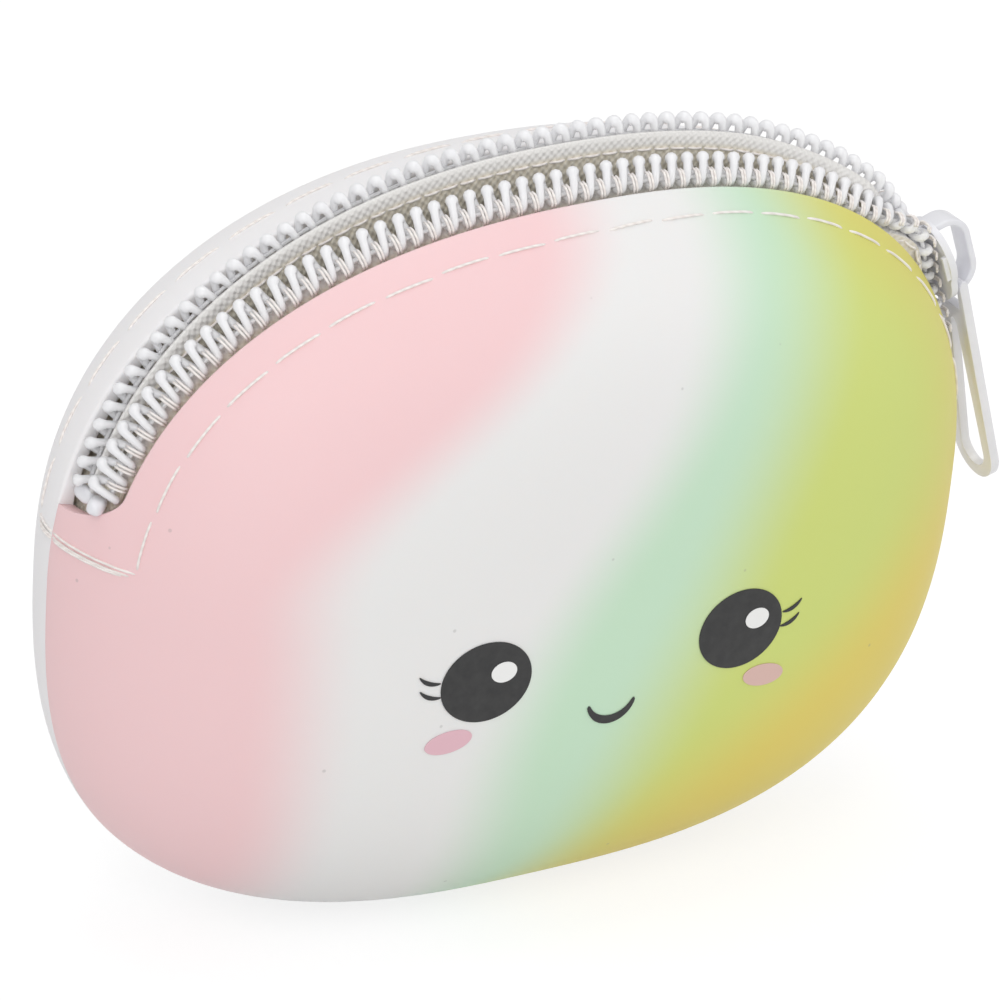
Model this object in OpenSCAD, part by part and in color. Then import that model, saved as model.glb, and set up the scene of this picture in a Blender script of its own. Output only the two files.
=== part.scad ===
// Squeeze coin purse: a pebble of soft silicone, printed in front and white behind, with a coil zip
// along its top. The front faces -Y, +Z is up, and the origin is at the middle of the flat foot.
// The zip is open: its slider is parked at the right end and closes the mouth as it goes left.

/* [Body] */
// Width of the purse from side to side
body_w = 110; // [104:1:116]
// Depth of the purse from front to back
body_d = 48; // [46:1:52]
// Height of the outline above its widest line
top_rise = 42; // [41:0.5:43]
// Height of the outline below its widest line
bottom_drop = 44; // [42:0.5:47]
// Thickness of the silicone wall
wall = 1.8; // [1.6:0.1:2]
// Slice left off under the purse, so that it stands
foot_cut = 0.8; // [0.6:0.1:1]
// Roundness of the outline above its widest line, where 2 is an ellipse
top_n = 2.24; // [2.2:0.01:2.3]
// Roundness of the outline below its widest line
bottom_n = 2.74; // [2.6:0.02:2.9]
// How far out the broad front and back stay flat
dome_p = 3.5; // [3.2:0.1:3.7]
// Roundness of the turn from the front or back to the seam
dome_q = 1.76; // [1.7:0.01:1.85]

/* [Mouth] */
// Depth of the mouth's cut into the front, at the middle
mouth_w = 9.6; // [9.2:0.1:10.4]
// How much shallower the cut is at the slider than at the middle
mouth_taper = 1.2; // [0.9:0.1:1.3]
// How much shallower the cut is at either end than at the middle
mouth_curve = 2.8; // [2.4:0.1:3]
// Angle up the outline from its widest line to either end of the mouth
mouth_end = 11.5; // [10:0.5:12]
// Angle over which an end of the mouth rounds off
mouth_round = 6; // [5:0.5:7]
// Depth of the dip in the rear rim beside the slider
rear_dip = 2.4; // [2.3:0.1:2.7]

/* [Zip] */
// Length of a coil tooth from root to tip
tooth_len = 3.2; // [3.1:0.05:3.3]
// Thickness of a coil
coil_thk = 2.2; // [2:0.1:2.3]
// Diameter of the coil filament
filament_d = 0.7; // [0.6:0.05:0.75]
// Number of curls in each coil
curls = 42; // [30:1:48]
// Diameter of the filler cord inside a coil
cord_d = 0.5; // [0.4:0.05:0.55]
// Diameter of the sewing thread
thread_d = 0.4; // [0.3:0.05:0.5]
// Thickness of the zip tape
tape_thk = 0.45; // [0.35:0.05:0.5]
// Room under the chain inside the slider
channel_play = 0.3; // [0.2:0.05:0.4]
// How far a tape reaches in under the wall, measured front to back
tape_reach = 6; // [5:0.5:8]
// Lean of the open front row from upright, toward the back
front_lean = 51; // [45:1:55]
// Lean of the open rear row from upright, toward the front
rear_lean = 0; // [-5:1:5]
// Distance of the open rear row in front of the seam
rear_stand = 1.6; // [1.5:0.05:1.9]
// Fall of the open rear row below the outline at its free end
rear_sink = 3; // [2:0.1:3.5]
// Distance of the zip's middle line in front of the seam
zip_offset = 2.2; // [2.1:0.05:2.3]
// Half width of the closed chain
chain_half = 2.45; // [2.3:0.05:2.6]

/* [Stitching] */
// Distance from a rim to its row of stitches, measured front to back
stitch_offset = 3.3; // [3:0.1:4]
// Number of stitches in each row
stitches = 20; // [14:1:26]
// Share of a stitch pitch that shows as thread
stitch_share = 0.78; // [0.6:0.02:0.85]

/* [Slider] */
// Angle up the outline to the parked slider
slider_angle = 27.5; // [27:0.5:28]
// Length of the slider body
slider_len = 10.2; // [10:0.1:10.6]
// Tilt of the slider, tail inward, from the run of the outline
slider_tilt = 12; // [8:0.5:14]
// Depth of the parked slider below the outline
slider_sink = 1.0; // [0:0.1:1.2]
// Depth of the closed chain below the outline, past the slider
chain_sink = 1.8; // [0:0.1:2]
// Width of the top plate
slider_w = 8.6; // [8.4:0.1:9]
// Thickness of a plate
plate_thk = 0.85; // [0.7:0.05:0.9]
// Height of the bail above the top plate
bail_h = 4; // [3.8:0.1:4.4]
// Width of the bail
bail_w = 3; // [2.6:0.1:3.2]
// Thickness of the bail
bail_thk = 0.8; // [0.7:0.05:0.9]

/* [Pull tab] */
// Length of the pull tab from its pivot to its end
tab_len = 26.5; // [24:0.5:28]
// Width of the pull tab at its broad end
tab_w = 7.4; // [6.8:0.1:8]
// Width of the metal round the pull tab's slot
tab_rim = 1.5; // [1.2:0.1:1.7]
// Thickness of the pull tab
tab_thk = 1.1; // [1:0.05:1.2]
// Lean of the hanging tab from upright, away from the purse
tab_lean = 16; // [16:0.5:20]
// Diameter of the bar that turns in the bail
pivot_d = 0.9; // [0.7:0.05:0.95]

/* [Face print] */
// Distance of an eye from the middle line
eye_x = 15.6; // [14:0.2:17]
// Height of the eyes
eye_z = 36.4; // [34:0.2:38]
// Half width of an eye
eye_rx = 5.3; // [4.6:0.1:5.6]
// Half height of an eye
eye_rz = 4.7; // [4.2:0.1:5]
// Half width of a glint
glint_rx = 1.5; // [1.2:0.1:1.8]
// Half height of a glint
glint_rz = 1.2; // [1:0.1:1.5]
// Distance of a cheek spot from the middle line
cheek_x = 19.4; // [18:0.2:21]
// Height of the cheek spots
cheek_z = 29.8; // [28:0.2:31]
// Half width of a cheek spot
cheek_rx = 2.7; // [2.2:0.1:3]
// Half height of a cheek spot
cheek_rz = 1.35; // [1:0.05:1.6]
// Height of the middle of the smile
smile_z = 31.6; // [30:0.2:33]
// Radius of the smile's arc
smile_r = 2.9; // [2.4:0.1:3.4]
// Thickness of the printed ink
ink_thk = 0.12; // [0.08:0.01:0.16]

/* [Hidden] */

pink = "#EBCBCF";
white = "#F1F0F2";
coil_white = "#F6F6F8";
tape_cream = "#DDD5C8";
thread_white = "#FFFDF8";
ink_black = "#3B3C41";
cheek_pink = "#D9B0BC";

half_w = body_w / 2;
half_d = body_d / 2;
centre_z = bottom_drop - foot_cut;
zip_y = -zip_offset;
gap = 0.1;              // clearance between pieces that lie on each other
seat_gap = 0.3;         // clearance between the tapes and the curved wall
film_gap = 0.03;        // height of the ink above the curved wall

// Rings and columns of the shell meshes
shell_rings = 9;

function signed_pow(v, e) = sign(v) * pow(abs(v), e);
function mix(a, b, m) = a * (1 - m) + b * m;
function smooth(u) = let (c = min(1, max(0, u))) c * c * (3 - 2 * c);
function unit(v) = v / norm(v);

// The outline in the seam plane at an angle, drawn in by an inset, as x and z about its centre
function curve_n(t) = sin(t) >= 0 ? top_n : bottom_n;
function curve_b(t) = sin(t) >= 0 ? top_rise : bottom_drop;
function outline(t, inset = 0) = [
    (half_w - inset) * signed_pow(cos(t), 2 / curve_n(t)),
    (curve_b(t) - inset) * signed_pow(sin(t), 2 / curve_n(t))
];
// Unit vector out of the outline, in its plane
function outward(t) = let (
    n = curve_n(t),
    v = [signed_pow(cos(t), 2 - 2 / n) / half_w, signed_pow(sin(t), 2 - 2 / n) / curve_b(t)]
) [unit(v)[0], 0, unit(v)[1]];
// Share of the outline's radius at which the dome has a given depth, and the other way round
function share_at(depth, inset = 0) =
    pow(1 - pow(min(1, abs(depth) / (half_d - inset)), dome_q), 1 / dome_p);
function depth_at(share, inset = 0) =
    (half_d - inset) * pow(max(0, 1 - pow(min(1, share), dome_p)), 1 / dome_q);
// Point of the dome at an outline angle and a signed depth
function dome_point(t, y, inset = 0) = let (p = outline(t, inset) * share_at(y, inset))
    [p[0], y, centre_z + p[1]];
// Point beside the outline: out from it by n, at depth y
function beside(t, n, y) = let (p = outline(t), v = outward(t))
    [p[0] + n * v[0], y, centre_z + p[1] + n * v[2]];
// Point of the front dome above x and z, lifted off it by n
function face_point(x, z, n) = let (
    h = z - centre_z,
    b = h >= 0 ? top_rise : bottom_drop,
    e = h >= 0 ? top_n : bottom_n,
    share = pow(pow(abs(x) / half_w, e) + pow(abs(h) / b, e), 1 / e)
) [x, -depth_at(share) - n, z];

// Cut of the mouth into the front, before and after its ends are rounded
function mouth_cut(t) = let (u = outline(t)[0] / (half_w - 5))
    mouth_w - mouth_taper * u - mouth_curve * u * u;
function end_round(t) = let (u = min(1, max(0, (min(t, 180 - t) - mouth_end) / mouth_round)))
    sqrt(1 - (1 - u) * (1 - u));
function front_rim(t) = mouth_cut(t) * end_round(t);
// Dip of the rear rim where the slider's nose spreads the rows
nose_angle = slider_angle + 6.5;
function rear_rim(t) = t < mouth_end || t > 180 - mouth_end ? 0
    : rear_dip * exp(-pow((t - slider_angle - 1.5) / 12, 2)) * end_round(t);

// Angles of the shell columns, closer together round the ends of the mouth
shell_angles = let (
    a = mouth_end,
    b = mouth_end + mouth_round,
    low = [for (i = [0:1:35]) mix(180 - a, 360 + a, i / 36)],
    right = [for (u = [0, 0.05, 0.15, 0.3, 0.5, 0.75]) mix(a, b, u) + 360],
    over = [for (i = [0:1:25]) mix(b, 180 - b, i / 26) + 360],
    left = [for (u = [1, 0.75, 0.5, 0.3, 0.15, 0.05]) mix(180 - a, 180 - b, u) + 360]
) concat(low, right, over, left);

// Faces of a closed grid of rings, each ring a loop of the same number of points
function grid_faces(rings, loop, first = 0) = [
    for (i = [0:1:rings - 2], j = [0:1:loop - 1], k = [0, 1]) let (
        a = first + i * loop + j,
        b = first + i * loop + (j + 1) % loop,
        c = a + loop,
        d = b + loop
    ) k == 0 ? [a, b, d] : [a, d, c]
];
function fan_faces(centre, first, loop, flip) = [
    for (j = [0:1:loop - 1]) let (a = first + j, b = first + (j + 1) % loop)
        flip ? [centre, b, a] : [centre, a, b]
];

// A half shell: side is -1 in front and 1 behind. The outer dome runs from its pole to the rim, the
// rim is a flat band across the wall, and the inner dome runs back to its own pole.
function floor_cut(p, low) = [p[0], p[1], max(low, p[2])];
function shell_ring(side, k, inset) = [
    for (t = shell_angles) let (
        rim = side < 0 ? front_rim(t % 360) : rear_rim(t % 360),
        edge = share_at(rim, inset),
        share = edge * sin(90 * k / shell_rings),
        p = outline(t % 360, inset) * share,
        y = k == shell_rings ? rim : depth_at(share, inset)
    ) floor_cut([p[0], side * y, centre_z + p[1]], inset == 0 ? 0 : -1)
];
module half_shell(side) {
    loop = len(shell_angles);
    outer = [for (k = [1:1:shell_rings]) each shell_ring(side, k, 0)];
    inner = [for (k = [shell_rings:-1:1]) each shell_ring(side, k, wall)];
    poles = [[0, side * half_d, centre_z], [0, side * (half_d - wall), centre_z]];
    points = concat(outer, inner, poles);
    last = 2 * shell_rings * loop;
    faces = concat(
        grid_faces(2 * shell_rings, loop),
        fan_faces(last, 0, loop, true),
        fan_faces(last + 1, last - loop, loop, false)
    );
    mirrored = [for (f = faces) [f[2], f[1], f[0]]];
    polyhedron(points, side < 0 ? faces : mirrored);
}

// A tube swept along points, with a ring of sides at each, each ring square to the path
function tube_ring(path, i, r, sides, up) = let (
    last = len(path) - 1,
    ahead = path[min(last, i + 1)] - path[max(0, i - 1)],
    t = unit(ahead),
    u = unit(cross(t, up)),
    v = cross(u, t)
) [for (k = [0:1:sides - 1]) path[i] + r * (cos(360 * k / sides) * u + sin(360 * k / sides) * v)];
module tube(path, d, sides = 6, up = [0, 1, 0]) {
    rings = len(path);
    points = [for (i = [0:1:rings - 1]) each tube_ring(path, i, d / 2, sides, up)];
    faces = concat(
        grid_faces(rings, sides),
        [[for (k = [sides - 1:-1:0]) k]],
        [[for (k = [0:1:sides - 1]) (rings - 1) * sides + k]]
    );
    polyhedron(points, faces);
}

// A ribbon between two faces, each a list of columns with the same number of points
module ribbon(near, far) {
    columns = len(near);
    m = len(near[0]);
    loops = [for (i = [0:1:columns - 1]) concat(near[i], [for (j = [m - 1:-1:0]) far[i][j]])];
    caps = [for (j = [0:1:m - 2], k = [0, 1])
        k == 0 ? [j, 2 * m - 1 - j, 2 * m - 2 - j] : [j, 2 * m - 2 - j, j + 1]];
    base = (columns - 1) * 2 * m;
    ends = [for (f = caps) [for (k = [2, 1, 0]) f[k] + base]];
    polyhedron([for (l = loops) each l], concat(grid_faces(columns, 2 * m), caps, ends));
}

// How far a row of the zip has closed up at an angle: 0 in the open mouth, 1 in the closed chain
row_start = 180 - mouth_end - 4.5;
row_end = mouth_end + 4.5;
lift_angle = 13;
function flat_share(t) = smooth((nose_angle + lift_angle - t) / lift_angle);
function meshed_share(t) = smooth((nose_angle - 1.5 - t) / (nose_angle - slider_angle));
nose_half = tooth_len + 0.3;
chain_level = 1.7 - coil_thk / 2;
function row_half(t) = mix(nose_half, chain_half, meshed_share(t));

// The slider's own frame: its middle on the outline, its direction out of the purse and toward its nose
slider_point = beside(slider_angle, -slider_sink, zip_y);
up_angle = atan2(outward(slider_angle)[2], outward(slider_angle)[0]) - slider_tilt;
slider_up = [cos(up_angle), 0, sin(up_angle)];
slider_axis = [-sin(up_angle), 0, cos(up_angle)];
// The chain runs straight through the slider and follows the outline beyond it
function along_slider(t) = (beside(t, 0, zip_y) - slider_point) * slider_axis;
function chain_point(t, n, y) = mix(
    slider_point + along_slider(t) * slider_axis + n * slider_up + [0, y - zip_y, 0],
    beside(t, n - chain_sink * smooth((slider_angle - t) / 7), y),
    smooth((abs(t - slider_angle) - 7) / 6)
);

// Root of a row's coil, and the directions from root to tip and out of the coil's outer face
sink_start = 68;
function rear_level(t) = -rear_sink * max(0, t - sink_start) / (row_start - sink_start);
function row_lean(side, t) = mix(side < 0 ? front_lean : rear_lean, 90, flat_share(t));
function row_root(side, t) = let (
    flat = chain_point(t, chain_level, zip_y + side * row_half(t)),
    open = side < 0
        ? dome_point(t, -mouth_cut(t)) + 0.3 * outward(t) + [0, 0.95, 0]
        : beside(t, rear_level(t), -rear_stand)
) mix(open, flat, flat_share(t));
function row_tooth(side, t) = let (a = row_lean(side, t))
    cos(a) * outward(t) + [0, -side * sin(a), 0];
function row_out(side, t) = let (a = row_lean(side, t))
    sin(a) * outward(t) + [0, side * cos(a), 0];

// Angles along a row, closer together where it turns over to enter the slider
turn_angle = nose_angle + lift_angle + 2;
function stations(left, right) = concat(
    [for (i = [0:1:left - 1]) mix(row_start, turn_angle, i / left)],
    [for (i = [0:1:right]) mix(turn_angle, row_end, i / right)]
);

// Angle along the rows at a share of their length: both rows share it, so that their curls interleave
row_steps = 120;
function step_length(path, i) = i < len(path) - 1 ? norm(path[i + 1] - path[i]) : 0;
row_path = [for (i = [0:1:row_steps]) row_root(-1, mix(row_start, row_end, i / row_steps))];
row_table = [
    for (i = 0, s = 0; i <= row_steps; s = s + step_length(row_path, i), i = i + 1)
        [s, mix(row_start, row_end, i / row_steps)]
];
function row_angle(share) = lookup(share * row_table[row_steps][0], row_table);

// The coil: a flattened helix, its curls spaced along the row and the two rows half a curl apart
curl_rings = 8;
function coil_point(side, i) = let (
    turn = i / curl_rings,
    t = row_angle(turn / curls),
    a = 360 * turn + (side < 0 ? 0 : 180),
    reach = (tooth_len - filament_d) / 2,
    rise = (coil_thk - filament_d) / 2
) row_root(side, t) + (filament_d / 2 + reach * (1 - cos(a))) * row_tooth(side, t)
    + rise * sin(a) * row_out(side, t);
function coil_path(side) = [for (i = [0:1:curls * curl_rings]) coil_point(side, i)];
module coil(side) tube(coil_path(side), filament_d, 6, [0.31, 0.9, 0.3]);

// Least gap of a coil to itself, measured between rings that are at least half a curl apart
function self_gap(path) = min([for (i = [0:1:len(path) - 1])
    for (j = [i + curl_rings / 2 + 1:1:min(len(path) - 1, i + 2 * curl_rings)])
        norm(path[i] - path[j])]) - filament_d;
echo(front_coil_self_gap = self_gap(coil_path(-1)), rear_coil_self_gap = self_gap(coil_path(1)));

// A line that runs with a row, at a distance toward the tips and out of its face
function row_line(side, along, out) = [for (t = stations(22, 18))
    row_root(side, t) + along * row_tooth(side, t) + out * row_out(side, t)];

// A tape: its near face lies under the coil and then against the inside of the wall.
// Where the rear row stands open, its tape hangs below the row before it turns back to the wall.
tape_hang = 3.5;
function tape_depths(side, t) = let (
    rim = side < 0 ? front_rim(t) : rear_rim(t),
    closed = [rim - 0.35, rim + 0.2 * tape_reach, rim + 0.6 * tape_reach, rim + tape_reach]
) side < 0 ? closed : mix([2.2, 3.4, 4.8, tape_reach + 0.4], closed, flat_share(t));
function tape_face(side, t, extra) = let (
    root = row_root(side, t),
    down = -(coil_thk / 2 + gap + extra) * row_out(side, t),
    hang = mix(tape_hang + extra, gap, flat_share(t))
) concat(
    [root + 0.5 * tooth_len * row_tooth(side, t) + down, root + down],
    side < 0 ? [] : [root + down - hang * row_tooth(side, t)],
    [for (y = tape_depths(side, t)) dome_point(t, side * y, wall + seat_gap + extra)]
);
module tape(side) {
    angles = concat([row_start + 1], stations(13, 15), [row_end - 1]);
    near = [for (t = angles) tape_face(side, t, 0)];
    far = [for (t = angles) tape_face(side, t, tape_thk)];
    if (side < 0) ribbon(far, near);
    else ribbon(near, far);
}

// A stitch: a short tube on the outside of the wall between two angles at a depth
stitch_lift = thread_d / 2 + 0.06;
function on_wall(side, t, y, lift) = let (
    p = dome_point(t, side * y),
    q = dome_point(t + 0.5, side * y),
    r = dome_point(t, side * (y + 0.3)),
    n = unit(cross(q - p, r - p))
) p + lift * n * (n * (p - [0, 0, centre_z]) > 0 ? 1 : -1);
module stitch(side, t0, t1, y0, y1) {
    path = [for (u = [0, 0.5, 1])
        on_wall(side, mix(t0, t1, u), mix(y0, y1, u), stitch_lift)];
    tube(path, thread_d, 4, [0.2, 0.9, 0.4]);
}
seam_depth = 4.5;
stitch_end = mouth_end - 4;
function stitch_depth(side, t) = side < 0 ? mouth_cut(t) + stitch_offset : seam_depth;
function stitch_table(side) = let (
    n = 90,
    p = [for (i = [0:1:n]) let (t = mix(180 - stitch_end, stitch_end, i / n))
        dome_point(t, side * stitch_depth(side, t))]
) [for (i = 0, s = 0; i <= n; s = s + step_length(p, i), i = i + 1)
    [s, mix(180 - stitch_end, stitch_end, i / n)]];
module stitch_row(side) {
    table = stitch_table(side);
    whole = table[len(table) - 1][0];
    for (i = [0:1:stitches - 1]) {
        t0 = lookup(whole * (i + 0.5 - stitch_share / 2) / stitches, table);
        t1 = lookup(whole * (i + 0.5 + stitch_share / 2) / stitches, table);
        stitch(side, t0, t1, stitch_depth(side, t0), stitch_depth(side, t1));
    }
}

// The tacks across the seam under each end of the mouth, each of two overlapping lines of thread
module tack(mirrored) {
    for (line = [0, 1], side = [-1, 1]) {
        t = stitch_end - 1.2 * line;
        a = mirrored ? 180 - t : t;
        far = stitch_depth(side, a) - 0.6 - 1.2 * line;
        stitch(side, a, a, 0.35, far);
    }
}

// An ink film on the front: an oval with its centre, half sizes and tilt
function oval_point(c, rx, rz, tilt, r, a, n) = let (
    x = r * rx * cos(a),
    z = r * rz * sin(a)
) face_point(c[0] + x * cos(tilt) - z * sin(tilt), c[1] + x * sin(tilt) + z * cos(tilt), n);
module ink_oval(c, rx, rz, tilt, lift, rings = 2, sides = 16) {
    low = [for (k = [1:1:rings], j = [0:1:sides - 1])
        oval_point(c, rx, rz, tilt, k / rings, 360 * j / sides, lift)];
    high = [for (k = [rings:-1:1], j = [0:1:sides - 1])
        oval_point(c, rx, rz, tilt, k / rings, 360 * j / sides, lift + ink_thk)];
    middle = [oval_point(c, rx, rz, 0, 0, 0, lift), oval_point(c, rx, rz, 0, 0, 0, lift + ink_thk)];
    last = 2 * rings * sides;
    faces = concat(
        grid_faces(2 * rings, sides),
        fan_faces(last, 0, sides, true),
        fan_faces(last + 1, last - sides, sides, false)
    );
    polyhedron(concat(low, high, middle), [for (f = faces) [f[2], f[1], f[0]]]);
}
// An ink stroke on the front along an arc, thin at its ends and full in the middle
module ink_arc(c, r, from, to, thin, full, steps = 10) {
    function at(a, w, n) = face_point(c[0] + (r + w) * cos(a), c[1] + (r + w) * sin(a), n);
    angles = [for (i = [0:1:steps]) mix(from, to, i / steps)];
    widths = [for (i = [0:1:steps]) mix(thin, full, sin(180 * i / steps)) / 2];
    low = [for (i = [0:1:steps]) [at(angles[i], widths[i], film_gap), at(angles[i], -widths[i], film_gap)]];
    high = [for (i = [0:1:steps]) [
        at(angles[i], widths[i], film_gap + ink_thk),
        at(angles[i], -widths[i], film_gap + ink_thk)
    ]];
    ribbon(high, low);
}

module front_shell() { color(pink) half_shell(-1); }
module rear_shell() { color(white) half_shell(1); }
module front_tape() { color(tape_cream) tape(-1); }
module rear_tape() { color(tape_cream) tape(1); }
module front_coil() { color(coil_white) coil(-1); }
module rear_coil() { color(coil_white) coil(1); }
cord_along = filament_d + 0.16 + cord_d / 2;
module front_coil_cord() { color(coil_white) tube(row_line(-1, cord_along, 0), cord_d, 5); }
module rear_coil_cord() { color(coil_white) tube(row_line(1, cord_along, 0), cord_d, 5); }
thread_out = coil_thk / 2 + thread_d / 2 + 0.04;
module front_coil_thread() {
    color(thread_white) tube(row_line(-1, tooth_len * 0.3, thread_out), thread_d, 5);
}
module rear_coil_thread() {
    color(thread_white) tube(row_line(1, tooth_len * 0.3, thread_out), thread_d, 5);
}
module front_seam_stitches() { color(thread_white) stitch_row(-1); }
module rear_seam_stitches() { color(thread_white) stitch_row(1); }
module end_tacks() {
    color(thread_white) {
        tack(false);
        tack(true);
    }
}

// The stops: one clamped on each row's open end, and one across both rows at the closed end
stop_len = 1.8;
stop_wall = 0.25;
stop_high = 0.4 * tooth_len;
module row_stop(side) {
    t = row_start + 1.6;
    a = row_lean(side, t);
    p = row_root(side, t);
    under = tape_thk + 2 * gap;
    grip = coil_thk + 2 * gap + under;
    translate(p + 0.5 * tooth_len * row_tooth(side, t))
        rotate([0, 90 - atan2(outward(t)[2], outward(t)[0]), 0])
            rotate([side * a, 0, 0])
                translate([0, -side * under / 2, 0]) difference() {
                    cube([stop_len, grip + 2 * stop_wall, stop_high], center = true);
                    translate([0, 0, -stop_wall]) cube([stop_len + 1, grip, stop_high], center = true);
                }
}
module front_top_stop() { color(white) row_stop(-1); }
module rear_top_stop() { color(white) row_stop(1); }
module bottom_stop() {
    len = 1.2;
    t = row_end - 1.2;
    color(white) translate(chain_point(t, chain_level, zip_y))
        rotate([0, 90 - atan2(outward(t)[2], outward(t)[0]), 0])
            cube([len, 2 * (chain_half - tooth_len / 4), coil_thk], center = true);
}

// Everything on the slider is drawn with x down the chain to the tail and z out of the purse
module at_slider() translate(slider_point) rotate([0, 90 - up_angle, 0]) children();
top_under = chain_level + thread_out + thread_d / 2 + gap;
bottom_over = chain_level - coil_thk / 2 - tape_thk - 2 * gap - channel_play;
nose_x = -slider_len / 2;
tail_x = slider_len / 2;
rail_w = 0.45;
rail_h = 0.5;
rail_len = 3;
rail_y = slider_w / 2 - 0.3 - rail_w / 2;
post_w = 0.4;
post_len = 1.3;
bottom_w = 3.6;
tail_share = 0.84;      // width of the tail against the nose
module plate_shape(w) {
    r = w / 2;
    q = r * tail_share;
    translate([nose_x + r, 0]) circle(r = r, $fn = 48);
    translate([tail_x - q, 0]) circle(r = q, $fn = 48);
    if (nose_x + r < tail_x - q)
        polygon([[nose_x + r, -r], [tail_x - q, -q], [tail_x - q, q], [nose_x + r, r]]);
}
module slider_body() {
    color(white) at_slider() {
        translate([0, 0, top_under]) linear_extrude(plate_thk) plate_shape(slider_w);
        for (s = [-1, 1])
            translate([nose_x + slider_w / 2 - rail_len / 2, s * rail_y - rail_w / 2, top_under - rail_h])
                cube([rail_len, rail_w, rail_h + 0.1]);
        translate([nose_x + 0.25, -post_w / 2, bottom_over - 0.1])
            cube([post_len, post_w, top_under - bottom_over + 0.2]);
        translate([0, 0, bottom_over - plate_thk]) linear_extrude(plate_thk) plate_shape(bottom_w);
    }
}
// The bail: a rounded arch along the slider, standing on the top plate
bail_half = slider_len / 2 - 0.3;
bail_foot = top_under + plate_thk;
bail_round = bail_h - 1;
module arch_shape(inset) {
    r = bail_round - inset;
    hull() for (s = [-1, 1])
        translate([s * (bail_half - bail_round), bail_h - bail_round]) circle(r = r, $fn = 64);
    translate([-bail_half + inset, 0]) square([2 * (bail_half - inset), bail_h - bail_round]);
}
module slider_bail() {
    color(white) at_slider() translate([0, bail_w / 2, bail_foot]) rotate([90, 0, 0]) linear_extrude(bail_w)
        difference() {
            arch_shape(0);
            arch_shape(bail_thk);
            translate([-bail_half + bail_thk, -1])
                square([2 * (bail_half - bail_thk), bail_h - bail_round + 1]);
            translate([-slider_len, -slider_len]) square([2 * slider_len, slider_len]);
        }
}
// The pull tab hangs by a bar inside the bail's tail end
pivot_clear = 0.07;
pivot_rise = 1.2;
pivot_x = bail_half - bail_thk - pivot_clear - pivot_d / 2;
pivot = slider_point + (bail_foot + pivot_rise) * slider_up - pivot_x * slider_axis;
echo(pivot = pivot, slider_point = slider_point, slider_up = slider_up);
eye_half = bail_w / 2 + 0.25;
eye_arm = 0.75;
eye_len = bail_thk + 0.62 * bail_h;
eye_bridge = 1.4;
tab_r = tab_w / 2;
slot_low = tab_len - tab_rim;
slot_r = tab_r - tab_rim;
slot_top = eye_len + eye_bridge + 1;
slot_top_r = 0.55;
module tab_shape() {
    top_r = eye_half + eye_arm;
    difference() {
        union() {
            translate([0, -tab_len + tab_r]) circle(r = tab_r, $fn = 64);
            polygon([[-top_r, 0], [-tab_r, -tab_len + tab_r], [tab_r, -tab_len + tab_r], [top_r, 0]]);
        }
        translate([-eye_half, -eye_len]) square([2 * eye_half, eye_len + 1]);
        hull() {
            translate([0, -slot_low + slot_r]) circle(r = slot_r, $fn = 48);
            translate([0, -slot_top]) circle(r = slot_top_r, $fn = 24);
        }
    }
}
module pull_tab() {
    color(white) translate(pivot) rotate([0, -tab_lean, 0]) {
        translate([0, eye_half + eye_arm, 0]) rotate([90, 0, 0])
            cylinder(d = pivot_d, h = 2 * (eye_half + eye_arm), $fn = 32);
        rotate([90, 0, 90]) translate([0, 0, -tab_thk / 2]) linear_extrude(tab_thk) tab_shape();
    }
}

module eye_prints() {
    color(ink_black) for (s = [-1, 1]) ink_oval([s * eye_x, eye_z], eye_rx, eye_rz, 0, film_gap, 2, 22);
}
glint_x = 1.95;
glint_z = 0.9;
glint_lift = 2 * film_gap + ink_thk;
module eye_glints() {
    color(white) for (s = [-1, 1])
        ink_oval([s * eye_x + glint_x, eye_z + glint_z], glint_rx, glint_rz, 0, glint_lift, 1, 14);
}
lash_r = 2.6;
lash_lift = 3.4;
lash_step = 1.7;
lash_reach = 0.5;
module lash_prints() {
    color(ink_black) for (s = [-1, 1], k = [0, 1]) {
        c = [s * (eye_x + eye_rx * 0.98 + lash_reach - 0.15 * k), eye_z + lash_lift - lash_step * k];
        start = s > 0 ? 262 : 215;
        stop = s > 0 ? 325 : 278;
        ink_arc(c, lash_r, start, stop, 0.12, 0.5, 5);
    }
}
module smile_print() { color(ink_black) ink_arc([0, smile_z], smile_r, 195, 345, 0.35, 1, 10); }
module cheek_prints() {
    color(cheek_pink) for (s = [-1, 1])
        ink_oval([s * cheek_x, cheek_z], cheek_rx, cheek_rz, s * -8, film_gap, 1, 16);
}

front_shell();
rear_shell();
front_tape();
rear_tape();
front_coil();
rear_coil();
front_coil_cord();
rear_coil_cord();
front_coil_thread();
rear_coil_thread();
front_seam_stitches();
rear_seam_stitches();
end_tacks();
front_top_stop();
rear_top_stop();
bottom_stop();
slider_body();
slider_bail();
pull_tab();
eye_prints();
eye_glints();
lash_prints();
smile_print();
cheek_prints();
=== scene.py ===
"""Squeeze coin purse: a pebble of soft silicone, banded in pastel colours in front and white behind,
with a stitched coil zip along its top, a white slider and a looped pull."""

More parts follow.
